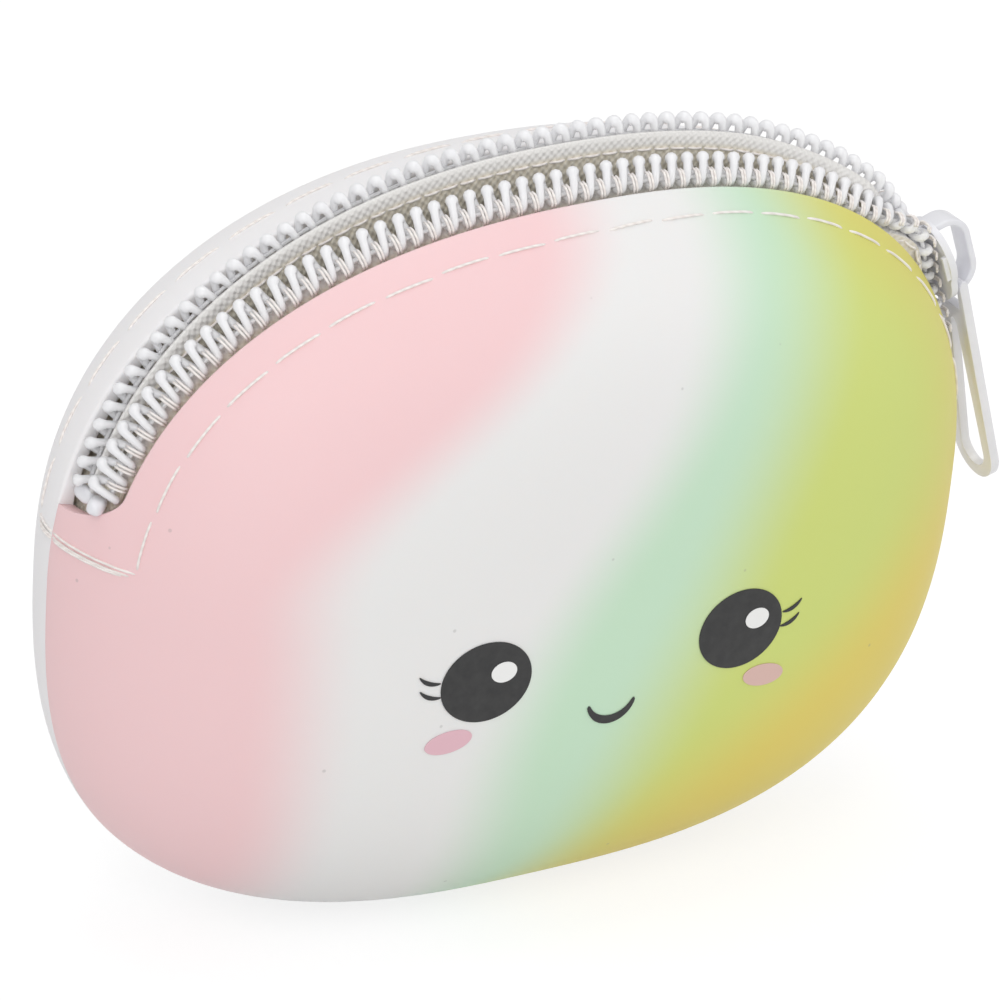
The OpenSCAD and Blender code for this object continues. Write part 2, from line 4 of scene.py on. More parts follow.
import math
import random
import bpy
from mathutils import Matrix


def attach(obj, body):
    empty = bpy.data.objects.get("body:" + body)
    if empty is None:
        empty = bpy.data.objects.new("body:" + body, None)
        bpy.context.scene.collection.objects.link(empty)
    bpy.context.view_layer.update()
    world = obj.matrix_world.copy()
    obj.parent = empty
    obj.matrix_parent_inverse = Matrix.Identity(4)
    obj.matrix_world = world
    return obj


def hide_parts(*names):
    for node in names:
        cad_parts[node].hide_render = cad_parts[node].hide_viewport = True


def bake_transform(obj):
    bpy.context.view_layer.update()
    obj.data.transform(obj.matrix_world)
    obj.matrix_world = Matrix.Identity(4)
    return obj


bl_info = {
    "name": "Squeeze Coin Purse",
    "version": (1, 0, 0),
    "blender": (4, 5, 0),
    "location": "View3D > Sidebar > Purse",
    "description": "Dresses the packed coin purse with silicone, zip, stitching and print",
    "category": "Object",
}

import bmesh
import bpy
from bpy.props import FloatProperty, FloatVectorProperty, IntProperty, PointerProperty
from mathutils import Matrix, Vector

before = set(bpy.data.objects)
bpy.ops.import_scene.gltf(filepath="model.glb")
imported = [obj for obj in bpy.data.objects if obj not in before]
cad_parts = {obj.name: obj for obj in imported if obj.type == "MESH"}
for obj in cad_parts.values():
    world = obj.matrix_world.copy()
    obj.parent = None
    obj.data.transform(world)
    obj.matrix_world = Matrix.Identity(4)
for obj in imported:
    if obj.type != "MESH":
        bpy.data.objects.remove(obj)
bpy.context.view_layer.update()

MM = 0.001
SAME_PLACE = 1e-8
BAND_DRIFT = 0.005
RIB_WIDTH = 0.45


# Colours, nodes and materials


def linear(hex_code):
    """Turn an sRGB hex colour into the linear red, green and blue that Blender works in."""
    parts = [int(hex_code[i : i + 2], 16) / 255 for i in (1, 3, 5)]
    return tuple(c / 12.92 if c <= 0.04045 else ((c + 0.055) / 1.055) ** 2.4 for c in parts)


def opaque(hex_code):
    """A hex colour as the four values that a colour input takes."""
    return (*linear(hex_code), 1)


def fill(tree, made, inputs):
    """Fill a node's inputs with values or with links."""
    for key, value in inputs.items():
        if isinstance(value, bpy.types.NodeSocket):
            tree.links.new(value, made.inputs[key])
        else:
            made.inputs[key].default_value = value


def node(tree, kind, settings=None, inputs=None):
    """Add one node, set its options, and fill its inputs."""
    made = tree.nodes.new(kind)
    for name, value in (settings or {}).items():
        setattr(made, name, value)
    fill(tree, made, inputs or {})
    return made


def noise(tree, where, scale, detail):
    """Cloudy noise from 0 to 1."""
    made = node(tree, "ShaderNodeTexNoise", inputs={"Vector": where, "Scale": scale, "Detail": detail})
    return made.outputs["Fac"]


def reckon(tree, operation, *values):
    """One step of arithmetic on values or sockets."""
    made = node(tree, "ShaderNodeMath", {"operation": operation}, dict(enumerate(values)))
    return made.outputs[0]


def ranged(tree, value, low=0.0, high=1.0, at_low=0.0, at_high=1.0, kind="LINEAR"):
    """Carry a value from one range over to another, straight or with eased ends."""
    made = node(
        tree,
        "ShaderNodeMapRange",
        {"interpolation_type": kind},
        {"Value": value, "From Min": low, "From Max": high, "To Min": at_low, "To Max": at_high},
    )
    return made.outputs["Result"]


def start_material(name):
    """A fresh material with its node tree, its shader and its object coordinates."""
    material = bpy.data.materials.new(name)
    material.use_nodes = True
    tree = material.node_tree
    shader = tree.nodes["Principled BSDF"]
    where = node(tree, "ShaderNodeTexCoord").outputs["Object"]
    return material, tree, shader, where


def shape_by_height(tree, shader, height, distance, strength):
    """Bump the shader's normal by a height that runs from 0 to 1."""
    traits = {"Height": height, "Distance": distance, "Strength": strength}
    bump = node(tree, "ShaderNodeBump", inputs=traits)
    tree.links.new(bump.outputs["Normal"], shader.inputs["Normal"])


def blend_colours(tree, factor, first, second):
    """Mix two colours, each a value or a socket, by a factor."""
    mixed = node(tree, "ShaderNodeMix", {"data_type": "RGBA"}, {"Factor": factor, 6: first, 7: second})
    return mixed.outputs[2]


def moulding_grain(tree, shader, where):
    """The fine satin grain of a blasted mould, about 0.3 mm across, with a slow unevenness."""
    fine = noise(tree, where, 3300.0, 3.0)
    broad = noise(tree, where, 90.0, 2.0)
    height = reckon(tree, "MULTIPLY_ADD", fine, 0.12, broad)
    shape_by_height(tree, shader, height, 0.00012, 0.5)
    fill(tree, shader, {"Roughness": ranged(tree, broad, at_low=0.44, at_high=0.56)})


def dusting(tree, where, colour, dust):
    """Silicone holds lint: sparse, faint grey specks about 0.4 mm across."""
    specks = node(tree, "ShaderNodeTexVoronoi", inputs={"Vector": where, "Scale": 150.0, "Randomness": 1.0})
    dot = ranged(tree, specks.outputs["Distance"], 0.02, 0.04, 0.28, 0.0, "SMOOTHSTEP")
    return blend_colours(tree, dot, colour, dust)


def band_edge(tree, height, low, high, left, right):
    """Where a band's edge crosses the front: it swings from left to right between two heights."""
    return ranged(tree, height, low, high, left, right, "SMOOTHSTEP")


def band_share(tree, across, edge, before, after):
    """How far a point has passed a band's edge, as a soft sprayed step."""
    past = reckon(tree, "SUBTRACT", across, edge)
    return ranged(tree, past, before, after, kind="SMOOTHSTEP")


def silicone_finish(tree, shader, where, colour, glow):
    """What both halves share: lint, a mould's grain, and light that passes a little way through."""
    lint = opaque("#8C8A88")
    traits = {
        "Base Color": dusting(tree, where, colour, lint),
        "IOR": 1.43,
        "Subsurface Weight": 0.12,
        "Subsurface Radius": glow,
        "Subsurface Scale": 0.002,
    }
    fill(tree, shader, traits)
    moulding_grain(tree, shader, where)


def banded_silicone(settings):
    """Moulded silicone rubber, sprayed in soft bands: satin, with a little glow at thin edges.
    The bands' edges are in metres, and noise drifts them by up to half of BAND_DRIFT."""
    material, tree, shader, where = start_material("Moulded silicone with sprayed bands")
    at = node(tree, "ShaderNodeSeparateXYZ", inputs={"Vector": where})
    drift = reckon(tree, "MULTIPLY_ADD", noise(tree, where, 22.0, 1.0), BAND_DRIFT, at.outputs["X"])
    x, z = reckon(tree, "SUBTRACT", drift, BAND_DRIFT / 2), at.outputs["Z"]
    white_edge = band_edge(tree, z, 0.046, 0.086, -0.0365, -0.0005)
    mint_edge = band_edge(tree, z, 0.022, 0.084, -0.016, 0.0135)
    lime_edge = band_edge(tree, z, -0.018, 0.108, -0.012, 0.026)
    low_yellow = band_edge(tree, z, 0.0, 0.052, 0.0, 0.047)
    top_yellow = band_edge(tree, z, 0.058, 0.086, 0.0, -0.019)
    yellow_edge = reckon(tree, "ADD", low_yellow, top_yellow)
    colour = (*settings.pink, 1)
    for edge, before, after, band in (
        (white_edge, -0.005, 0.007, settings.white),
        (mint_edge, -0.004, 0.009, settings.mint),
        (lime_edge, -0.002, 0.016, settings.lime),
        (yellow_edge, -0.012, 0.012, settings.yellow),
    ):
        colour = blend_colours(tree, band_share(tree, x, edge, before, after), colour, (*band, 1))
    silicone_finish(tree, shader, where, colour, (1.0, 0.8, 0.7))
    return material


def plain_silicone(settings):
    """Moulded silicone rubber in white: satin, with the same grain and lint as the front."""
    material, tree, shader, where = start_material("Moulded white silicone")
    tint = noise(tree, where, 35.0, 2.0)
    colour = blend_colours(tree, tint, (*settings.rear, 1), opaque("#F3F1F2"))
    silicone_finish(tree, shader, where, colour, (1.0, 0.9, 0.8))
    return material


def coil_nylon(settings):
    """Drawn nylon monofilament: milky, glossy, and brighter where light passes through a curl."""
    material, tree, shader, where = start_material("Nylon monofilament")
    cloud = noise(tree, where, 700.0, 2.0)
    traits = {
        "Base Color": blend_colours(tree, cloud, (*settings.nylon, 1), opaque("#E9E9EC")),
        "Roughness": 0.3,
        "IOR": 1.53,
        "Subsurface Weight": 0.6,
        "Subsurface Radius": (1.0, 1.0, 1.0),
        "Subsurface Scale": 0.0012,
    }
    fill(tree, shader, traits)
    shape_by_height(tree, shader, cloud, 0.00006, 0.4)
    return material


def zip_tape(settings):
    """Woven polyester tape: a flat selvedge at its free edge, then a plain weave of 0.45 mm ribs,
    coarser than the real 0.25 mm so that it shows, with painted highlight on the ribs' crowns and painted
    shade between them."""
    material, tree, shader, where = start_material("Woven polyester tape")
    laid = node(tree, "ShaderNodeUVMap", {"uv_map": "laid"}).outputs["UV"]
    at = node(tree, "ShaderNodeSeparateXYZ", inputs={"Vector": laid})
    ribs = []
    for name, phase in (("X", 0.0), ("Y", 1.57)):
        turn = reckon(tree, "MULTIPLY_ADD", at.outputs[name], math.pi / RIB_WIDTH, phase)
        ribs.append(reckon(tree, "SINE", turn))
    level = ranged(tree, reckon(tree, "MULTIPLY", *ribs), -1.0, 1.0)
    fuzz = noise(tree, where, 1600.0, 3.0)
    blotch = noise(tree, where, 260.0, 2.0)
    past_selvedge = ranged(tree, at.outputs["Y"], 1.0, 1.8, kind="SMOOTHSTEP")
    woven = blend_colours(tree, blotch, (*settings.tape, 1), opaque("#D8CFBA"))
    # Painted highlight and shade: the ribs' crowns, highest in the bump, are lightened toward #F1EBDD, and
    # the gaps between them stay the darker beige.
    woven = blend_colours(tree, level, woven, opaque("#F1EBDD"))
    traits = {
        "Base Color": blend_colours(tree, past_selvedge, opaque("#F1EFEC"), woven),
        "Roughness": 0.85,
        "Sheen Weight": 0.25,
    }
    fill(tree, shader, traits)
    shape_by_height(tree, shader, reckon(tree, "MULTIPLY_ADD", fuzz, 0.3, level), 0.00018, 0.7)
    return material


def sewing_thread(settings):
    """Spun polyester thread: matt, with a twist about 0.4 mm long that reads as fine slanting ribs, its
    grooves painted darker as painted shade.
    """
    material, tree, shader, where = start_material("Spun polyester thread")
    twist = node(
        tree,
        "ShaderNodeTexWave",
        {"bands_direction": "DIAGONAL"},
        {"Vector": where, "Scale": 520.0, "Distortion": 1.0, "Detail": 1.0},
    )
    # Painted shade: the twist's grooves, where the bump sinks, are darkened toward #EDE6E2.
    colour = blend_colours(tree, twist.outputs["Fac"], opaque("#EDE6E2"), (*settings.thread, 1))
    fill(tree, shader, {"Base Color": colour, "Roughness": 0.7, "Sheen Weight": 0.3})
    shape_by_height(tree, shader, twist.outputs["Fac"], 0.00004, 0.5)
    return material


def painted_zinc(settings):
    """Die-cast zinc under white gloss paint: smooth, slightly uneven, a shade greyer in its dips."""
    material, tree, shader, where = start_material("White gloss paint on die-cast zinc")
    peel = noise(tree, where, 1100.0, 2.0)
    shade = noise(tree, where, 180.0, 2.0)
    colour = blend_colours(tree, shade, (*settings.paint, 1), opaque("#DEDEE4"))
    traits = {"Base Color": colour, "Roughness": 0.28, "Coat Weight": 0.3, "Coat Roughness": 0.12}
    fill(tree, shader, traits)
    shape_by_height(tree, shader, peel, 0.00004, 0.4)
    return material


def printed_ink(name, left, right, roughness):
    """Pad-printed ink: flat and even, with the faint mottle that the plate leaves.
    The colour can differ to the left and right of the middle, where thin ink lies on another band."""
    material, tree, shader, where = start_material(name)
    at = node(tree, "ShaderNodeSeparateXYZ", inputs={"Vector": where})
    side = ranged(tree, at.outputs["X"], -0.004, 0.004)
    colour = blend_colours(tree, side, (*left, 1), (*right, 1))
    mottle = noise(tree, where, 900.0, 3.0)
    colour = blend_colours(tree, ranged(tree, mottle, at_high=0.05), colour, opaque("#C9C6C6"))
    fill(tree, shader, {"Base Color": colour, "Roughness": roughness})
    shape_by_height(tree, shader, mottle, 0.00002, 0.4)
    return material


# The body's own geometry, in millimetres, as the source has it

HALF_W, HALF_D = 55.0, 24.0
TOP_RISE, TOP_N = 42.0, 2.24
BOTTOM_DROP, BOTTOM_N = 44.0, 2.74
DOME_P, DOME_Q = 3.5, 1.76
CENTRE_Z = BOTTOM_DROP - 0.8
MOUTH_W, MOUTH_TAPER, MOUTH_CURVE = 9.6, 1.2, 2.8
MOUTH_END, MOUTH_ROUND = 11.5, 6.0
REAR_DIP = 2.4
SLIDER_ANGLE, SLIDER_TILT = 27.5, 12.0
SLIDER_SINK, CHAIN_SINK = 1.0, 1.8
ZIP_Y = -2.2
TOOTH_LEN, COIL_THK = 3.2, 2.2
CHAIN_HALF, NOSE_HALF = 2.45, 3.5
CHAIN_LEVEL = 1.7 - COIL_THK / 2
FRONT_LEAN, REAR_LEAN = 39.5, 0.0
REAR_STAND, REAR_SINK, SINK_START = 1.6, 3.0, 68.0
FRONT_RAISE, FRONT_SINK, FRONT_BACK = 0.3, 0.95, 1.05
NOSE_ANGLE = SLIDER_ANGLE + 6.5
LIFT_ANGLE = 13.0
ROW_START, ROW_END = 180 - MOUTH_END - 4.5, MOUTH_END + 4.5


def mix(a, b, m):
    return a * (1 - m) + b * m


def smooth(u):
    c = min(1.0, max(0.0, u))
    return c * c * (3 - 2 * c)


def signed_power(v, e):
    return math.copysign(abs(v) ** e, v)


def outline(t, inset=0.0):
    """A point of the seam's outline at an angle, as x and height above the widest line."""
    c, s = math.cos(math.radians(t)), math.sin(math.radians(t))
    n, b = (TOP_N, TOP_RISE) if s >= 0 else (BOTTOM_N, BOTTOM_DROP)
    return (HALF_W - inset) * signed_power(c, 2 / n), (b - inset) * signed_power(s, 2 / n)


def outward(t):
    """The unit vector out of the outline, in its own plane."""
    c, s = math.cos(math.radians(t)), math.sin(math.radians(t))
    n, b = (TOP_N, TOP_RISE) if s >= 0 else (BOTTOM_N, BOTTOM_DROP)
    return Vector((signed_power(c, 2 - 2 / n) / HALF_W, 0, signed_power(s, 2 - 2 / n) / b)).normalized()


def share_at(depth, inset=0.0):
    """The share of the outline's radius at which the dome has a depth."""
    return (1 - min(1.0, abs(depth) / (HALF_D - inset)) ** DOME_Q) ** (1 / DOME_P)


def depth_at(share, inset=0.0):
    return (HALF_D - inset) * max(0.0, 1 - min(1.0, share) ** DOME_P) ** (1 / DOME_Q)


def dome_point(t, y, inset=0.0):
    """A point of the dome at an outline angle and a signed depth."""
    x, z = outline(t, inset)
    k = share_at(y, inset)
    return Vector((x * k, y, CENTRE_Z + z * k))


def beside(t, n, y):
    """A point beside the outline: out from it by n, at depth y."""
    x, z = outline(t)
    v = outward(t)
    return Vector((x + n * v.x, y, CENTRE_Z + z + n * v.z))


def face_point(x, z, n):
    """The point of the front dome at x and z, lifted off it by n."""
    h = z - CENTRE_Z
    b, e = (TOP_RISE, TOP_N) if h >= 0 else (BOTTOM_DROP, BOTTOM_N)
    share = (abs(x / HALF_W) ** e + abs(h / b) ** e) ** (1 / e)
    return Vector((x, -depth_at(share) - n, z))


def mouth_cut(t):
    u = outline(t)[0] / (HALF_W - 5)
    return MOUTH_W - MOUTH_TAPER * u - MOUTH_CURVE * u * u


def end_round(t):
    u = min(1.0, max(0.0, (min(t, 180 - t) - MOUTH_END) / MOUTH_ROUND))
    return math.sqrt(max(0.0, 1 - (1 - u) ** 2))


def front_rim(t):
    return mouth_cut(t) * end_round(t)


def rear_rim(t):
    if t < MOUTH_END or t > 180 - MOUTH_END:
        return 0.0
    return REAR_DIP * math.exp(-(((t - SLIDER_ANGLE - 1.5) / 12) ** 2)) * end_round(t)


UP_ANGLE = math.atan2(outward(SLIDER_ANGLE).z, outward(SLIDER_ANGLE).x) - math.radians(SLIDER_TILT)
SLIDER_POINT = beside(SLIDER_ANGLE, -SLIDER_SINK, ZIP_Y)
SLIDER_UP = Vector((math.cos(UP_ANGLE), 0, math.sin(UP_ANGLE)))
SLIDER_AXIS = Vector((-math.sin(UP_ANGLE), 0, math.cos(UP_ANGLE)))


def chain_point(t, n, y):
    """The zip's path once its rows lie flat: straight inside the slider, along the outline beyond."""
    along = (beside(t, 0, ZIP_Y) - SLIDER_POINT).dot(SLIDER_AXIS)
    inside = SLIDER_POINT + along * SLIDER_AXIS + n * SLIDER_UP + Vector((0, y - ZIP_Y, 0))
    sunk = CHAIN_SINK * smooth((SLIDER_ANGLE - t) / 7)
    return inside.lerp(beside(t, n - sunk, y), smooth((abs(t - SLIDER_ANGLE) - 7) / 6))


def flat_share(t):
    return smooth((NOSE_ANGLE + LIFT_ANGLE - t) / LIFT_ANGLE)


def row_half(t):
    return mix(NOSE_HALF, CHAIN_HALF, smooth((NOSE_ANGLE - 1.5 - t) / (NOSE_ANGLE - SLIDER_ANGLE)))


def rear_level(t):
    """The open rear row sinks into the mouth toward its free end."""
    return -REAR_SINK * max(0.0, t - SINK_START) / (ROW_START - SINK_START)


def row_root(side, t):
    """The root of a row's coil: behind its rim where the zip is open, in the chain where it is closed.
    The front coil's legs are a little longer than the source's, down to where the rim hides them."""
    flat = chain_point(t, CHAIN_LEVEL, ZIP_Y + side * row_half(t))
    if side < 0:
        stands = dome_point(t, -mouth_cut(t)) + (FRONT_RAISE - FRONT_SINK) * outward(t)
        stands += Vector((0, FRONT_BACK, 0))
    else:
        stands = beside(t, rear_level(t), -REAR_STAND)
    return stands.lerp(flat, flat_share(t))


def row_frame(side, t):
    """The directions from a coil's root to its tips, and out of its outer face."""
    open_lean = FRONT_LEAN if side < 0 else REAR_LEAN
    lean = math.radians(mix(open_lean, 90, flat_share(t)))
    v = outward(t)
    tooth = math.cos(lean) * v + Vector((0, -side * math.sin(lean), 0))
    out = math.sin(lean) * v + Vector((0, side * math.cos(lean), 0))
    return tooth, out


def tooth_len(side, t):
    """The length of a curl from its root to its tip."""
    return mix(3.95 if side < 0 else 3.35, 3.35, flat_share(t))


def measured(place, start, stop, steps):
    """Angles paired with the distance run along a path, so that pieces can be spaced evenly on it."""
    table, run, last = [], 0.0, None
    for i in range(steps + 1):
        t = mix(start, stop, i / steps)
        here = place(t)
        run += (here - last).length if last else 0.0
        table.append((run, t))
        last = here
    return table


def angle_at(table, share):
    """The angle at a share of a measured path's length."""
    want = min(max(share, 0.0), 1.0) * table[-1][0]
    for (a, ta), (b, tb) in zip(table, table[1:]):
        if want <= b:
            return mix(ta, tb, (want - a) / (b - a) if b > a else 0.0)
    return table[-1][1]


ROWS = measured(lambda t: row_root(-1, t), ROW_START, ROW_END, 400)


# Making meshes


def finished(bm, name, material, body="shell", smooth_faces=True):
    """Turn a bmesh in millimetres into an object in metres, facing outward, that rides on a body, or for
    the lip is baked in place.
    """
    bmesh.ops.scale(bm, vec=(MM, MM, MM), verts=bm.verts)
    bmesh.ops.remove_doubles(bm, verts=bm.verts, dist=SAME_PLACE)
    bmesh.ops.recalc_face_normals(bm, faces=bm.faces)
    mesh = mesh_from(bm, name)
    if smooth_faces:
        mesh.shade_smooth()
    return as_piece(mesh, material, body)


def mesh_from(bm, name):
    mesh = bpy.data.meshes.new(name)
    bm.to_mesh(mesh)
    bm.free()
    return mesh


def as_piece(mesh, material, body):
    """Put a mesh in the scene as a piece of one material that rides on a body, or for the lip is baked in
    place.
    """
    mesh.materials.append(material)
    made = bpy.data.objects.new(mesh.name, mesh)
    bpy.context.scene.collection.objects.link(made)
    if body == "lip":
        flex_with_lip(made)
    else:
        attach(made, body)
    return made


def flex_with_lip(piece):
    """Bake the piece's placement into its mesh, where it stays: it rides on no body and does not bend."""
    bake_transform(piece)


def edges_round(bm, ring):
    return [bm.edges.get(pair) for pair in zip(ring, ring[1:] + ring[:1])]


def extrude_ring(bm, ring, points):
    """Extrude a ring of vertices once and set the new ring on the given points."""
    made = bmesh.ops.extrude_edge_only(bm, edges=edges_round(bm, ring))["geom"]
    fresh = {v for v in made if isinstance(v, bmesh.types.BMVert)}
    nexts = []
    for v, p in zip(ring, points):
        w = next(e.other_vert(v) for e in v.link_edges if e.other_vert(v) in fresh)
        w.co = p
        nexts.append(w)
    return nexts


def first_ring(bm, points):
    """A closed ring of vertices to extrude from."""
    made = bmesh.ops.create_circle(bm, cap_ends=False, segments=len(points), radius=1.0)
    ring = made["verts"]
    for v, p in zip(ring, points):
        v.co = p
    return ring


def loft(rings, closed_ends=True, bm=None):
    """A skin through rings of points, extruded ring by ring. Ends are closed with a face or left open."""
    if bm is None:
        bm = bmesh.new()
    ring = first_ring(bm, rings[0])
    ends = [list(ring)]
    for points in rings[1:]:
        ring = extrude_ring(bm, ring, points)
    ends.append(ring)
    if closed_ends:
        for end in ends:
            bmesh.ops.contextual_create(bm, geom=edges_round(bm, end))
    return bm, ends


def close_pole(bm, ring, point):
    """Draw the last ring of a dome together at its pole."""
    tip = extrude_ring(bm, ring, [point.lerp(v.co, 0.02) for v in ring])
    bmesh.ops.pointmerge(bm, verts=tip, merge_co=point)


def tube_between(paths, radius, name, material, body, radii=None, resolution=3):
    """Round tubes along one or more lines of points, made as curves and kept as one mesh."""
    line = bpy.data.curves.new(name, "CURVE")
    line.dimensions = "3D"
    line.bevel_depth = radius * MM
    line.bevel_resolution = resolution
    line.use_fill_caps = True
    line.twist_mode = "MINIMUM"
    for k, path in enumerate(paths):
        spline = line.splines.new("POLY")
        spline.points.add(len(path) - 1)
        for i, p in enumerate(path):
            spline.points[i].co = (*(p * MM), 1.0)
            spline.points[i].radius = radii[k][i] if radii else 1.0
    holder = bpy.data.objects.new(name + "_line", line)
    bpy.context.scene.collection.objects.link(holder)
    depsgraph = bpy.context.evaluated_depsgraph_get()
    mesh = bpy.data.meshes.new_from_object(holder.evaluated_get(depsgraph))
    bpy.data.objects.remove(holder)
    bpy.data.curves.remove(line)
    mesh.name = name
    bm = bmesh.new()
    bm.from_mesh(mesh)
    bmesh.ops.remove_doubles(bm, verts=bm.verts, dist=SAME_PLACE)
    bmesh.ops.recalc_face_normals(bm, faces=bm.faces)
    bm.to_mesh(mesh)
    bm.free()
    mesh.materials.clear()
    mesh.shade_smooth()
    return as_piece(mesh, material, body)


def rounded_copy(cad_node, name, material, body, width):
    """A copy of a hard CAD piece with its facets merged and its edges rounded, as casting leaves them."""
    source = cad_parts[cad_node]
    bm = bmesh.new()
    bm.from_mesh(source.data)
    bmesh.ops.remove_doubles(bm, verts=bm.verts, dist=2e-6)
    bmesh.ops.dissolve_limit(
        bm, angle_limit=math.radians(1.0), verts=bm.verts, edges=bm.edges, use_dissolve_boundaries=False
    )
    bmesh.ops.recalc_face_normals(bm, faces=bm.faces)
    sharp = [e for e in bm.edges if len(e.link_faces) == 2 and e.calc_face_angle(0) > math.radians(30)]
    bmesh.ops.bevel(
        bm,
        geom=sharp,
        offset=width * MM,
        offset_type="OFFSET",
        segments=3,
        profile=0.5,
        affect="EDGES",
        clamp_overlap=True,
        material=-1,
    )
    mesh = mesh_from(bm, name)
    mesh.shade_smooth()
    mesh.set_sharp_from_angle(angle=math.radians(50))
    made = as_piece(mesh, material, body)
    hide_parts(cad_node)
    return made


# Settings a user would change


def colour_setting(name, description, default):
    return FloatVectorProperty(
        name=name, description=description, default=linear(default), size=3, min=0, max=1, subtype="COLOR"
    )


def measure(name, description, default, **limits):
    return FloatProperty(name=name, description=description, default=default, **limits)


def number(name, description, default, low, high):
    return IntProperty(name=name, description=description, default=default, min=low, max=high)


class PurseBodySettings(bpy.types.PropertyGroup):
    wall: measure("Wall", "Thickness of the silicone wall, in mm", 1.8, min=1, max=3)
    lip_round: measure("Lip rounding", "Radius of the mouth's moulded edges, in mm", 0.42, min=0.1, max=0.8)
    pink: colour_setting("Pink", "Band at the left of the front", "#F5D0D2")
    white: colour_setting("White", "Band beside the pink one", "#EDECEB")
    mint: colour_setting("Mint", "Band beside the white one", "#C9E6CB")
    lime: colour_setting("Lime", "Band beside the mint one", "#D2DD7E")
    yellow: colour_setting("Yellow", "Band at the right edge", "#E6D268")
    rear: colour_setting("Rear", "The plain half", "#FAF8F9")


class PurseZipSettings(bpy.types.PropertyGroup):
    curls: number("Curls", "Number of curls in each coil", 62, 20, 100)
    filament: measure("Filament", "Diameter of the coil filament, in mm", 0.86)
    cord: measure("Cord", "Diameter of the filler cord, in mm", 0.5)
    nylon: colour_setting("Nylon", "Colour of both coils", "#F6F6F8")
    tape: colour_setting("Tape", "Colour of both tapes", "#E8DFCC")


class PurseStitchSettings(bpy.types.PropertyGroup):
    count: number("Stitches", "Number of stitches along the mouth", 20, 8, 40)
    share: measure("Stitch share", "Part of a stitch's pitch that shows", 0.85)
    thickness: measure("Thread", "Diameter of the sewing thread, in mm", 0.29)
    thread: colour_setting("Thread", "Colour of the thread", "#F8F3EF")


class PurseHardwareSettings(bpy.types.PropertyGroup):
    rounding: measure("Rounding", "Radius of the cast edges, in mm", 0.22)
    paint: colour_setting("Paint", "Colour of slider, pull and stops", "#F1F1F4")


class PursePrintSettings(bpy.types.PropertyGroup):
    lift: measure("Ink thickness", "Height of the printed ink, in mm", 0.06)
    dark: colour_setting("Dark ink", "Eyes, lashes and smile", "#08090B")
    glint: colour_setting("Glint", "Spots in the eyes", "#F3F3F2")
    cheek_left: colour_setting("Left cheek", "Pink ink on the white band", "#E5B9C4")
    cheek_right: colour_setting("Right cheek", "Pink ink on the lime band", "#DDB9B0")


class PurseStageSettings(bpy.types.PropertyGroup):
    azimuth: measure("Azimuth", "Camera's turn to the right of the front, so negative is left", -31.867)
    elevation: measure("Elevation", "Camera's height angle", 27.092)
    roll: measure("Roll", "Camera's roll", 4.633)
    distance: measure("Distance", "Camera to the purse's middle, in m", 0.59884)
    focal: measure("Focal length", "In thousandths of the frame's width", 5536.56)
    floor: colour_setting("Floor", "Floor and backdrop", "#FFFFFF")


# The silicone body


def shell_columns():
    """Outline angles of the shell's columns, closer together round the ends of the mouth."""
    a, b = MOUTH_END, MOUTH_END + MOUTH_ROUND
    ends = [0.0, 0.02, 0.06, 0.12, 0.2, 0.3, 0.42, 0.56, 0.7, 0.85]
    low = [mix(180 - a, 360 + a, i / 120) for i in range(120)]
    right = [mix(a, b, u) + 360 for u in ends]
    over = [mix(b, 180 - b, i / 110) + 360 for i in range(110)]
    left = [mix(180 - a, 180 - b, u) + 360 for u in [1.0] + ends[:0:-1]]
    return [t % 360 for t in low + right + over + left]


def dome_column(side, t, rim_share, inset, turns):
    """Points down a dome at one outline angle, closer together where it turns over to its rim."""
    x, z = outline(t, inset)
    points = []
    for u in turns:
        share = rim_share * math.sin(math.radians(90 * u))
        points.append(Vector((x * share, side * depth_at(share, inset), CENTRE_Z + z * share)))
    return points


def shell_profile(side, t, wall, lip_round):
    """One column of a half shell, from the outer pole's side, round the rim, to the inner pole's side."""
    rim = front_rim(t) if side < 0 else rear_rim(t)
    open_here = end_round(t) if 0 < t < 180 else 0.0
    r = mix(0.07, lip_round, open_here)
    outer_edge = dome_point(t, side * rim)
    inner_edge = dome_point(t, side * rim, wall)
    across = (inner_edge - outer_edge).normalized()
    back_out = (dome_point(t, side * (rim + 0.5)) - outer_edge).normalized()
    back_in = (dome_point(t, side * (rim + 0.5), wall) - inner_edge).normalized()
    outer = dome_column(side, t, share_at(rim + r), 0.0, [k / 39.5 for k in range(1, 40)])
    inner = dome_column(side, t, share_at(rim + r, wall), wall, [k / 24.5 for k in range(24, 0, -1)])
    arcs = [[], []]
    for a in (0, 22.5, 45, 67.5, 90):
        c, s = math.cos(math.radians(a)), math.sin(math.radians(a))
        arcs[0].append(outer_edge + r * back_out * (1 - s) + r * across * (1 - c))
        arcs[1].append(inner_edge + r * back_in * (1 - s) - r * across * (1 - c))
    points = outer + arcs[0] + [outer_edge.lerp(inner_edge, 0.5)] + arcs[1][::-1] + inner
    return [Vector((p.x, p.y, max(p.z, 0.0))) for p in points]


def half_shell(side, settings, name, material, body):
    columns = [shell_profile(side, t, settings.wall, settings.lip_round) for t in shell_columns()]
    rings = [[column[k] for column in columns] for k in range(len(columns[0]))]
    bm, ends = loft(rings, closed_ends=False)
    close_pole(bm, ends[0], Vector((0, side * HALF_D, CENTRE_Z)))
    close_pole(bm, ends[1], Vector((0, side * (HALF_D - settings.wall), CENTRE_Z)))
    return finished(bm, name, material, body)


class PURSE_OT_body(bpy.types.Operator):
    """Mould the two silicone halves"""

    bl_idname = "purse.body"
    bl_label = "Silicone body"

    def execute(self, context):
        settings = context.scene.purse_body
        front = half_shell(-1, settings, "front_half", banded_silicone(settings), "lip")
        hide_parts("front_shell")
        rear = half_shell(1, settings, "rear_half", plain_silicone(settings), "shell")
        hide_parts("rear_shell")
        return {"FINISHED"}


# The zip


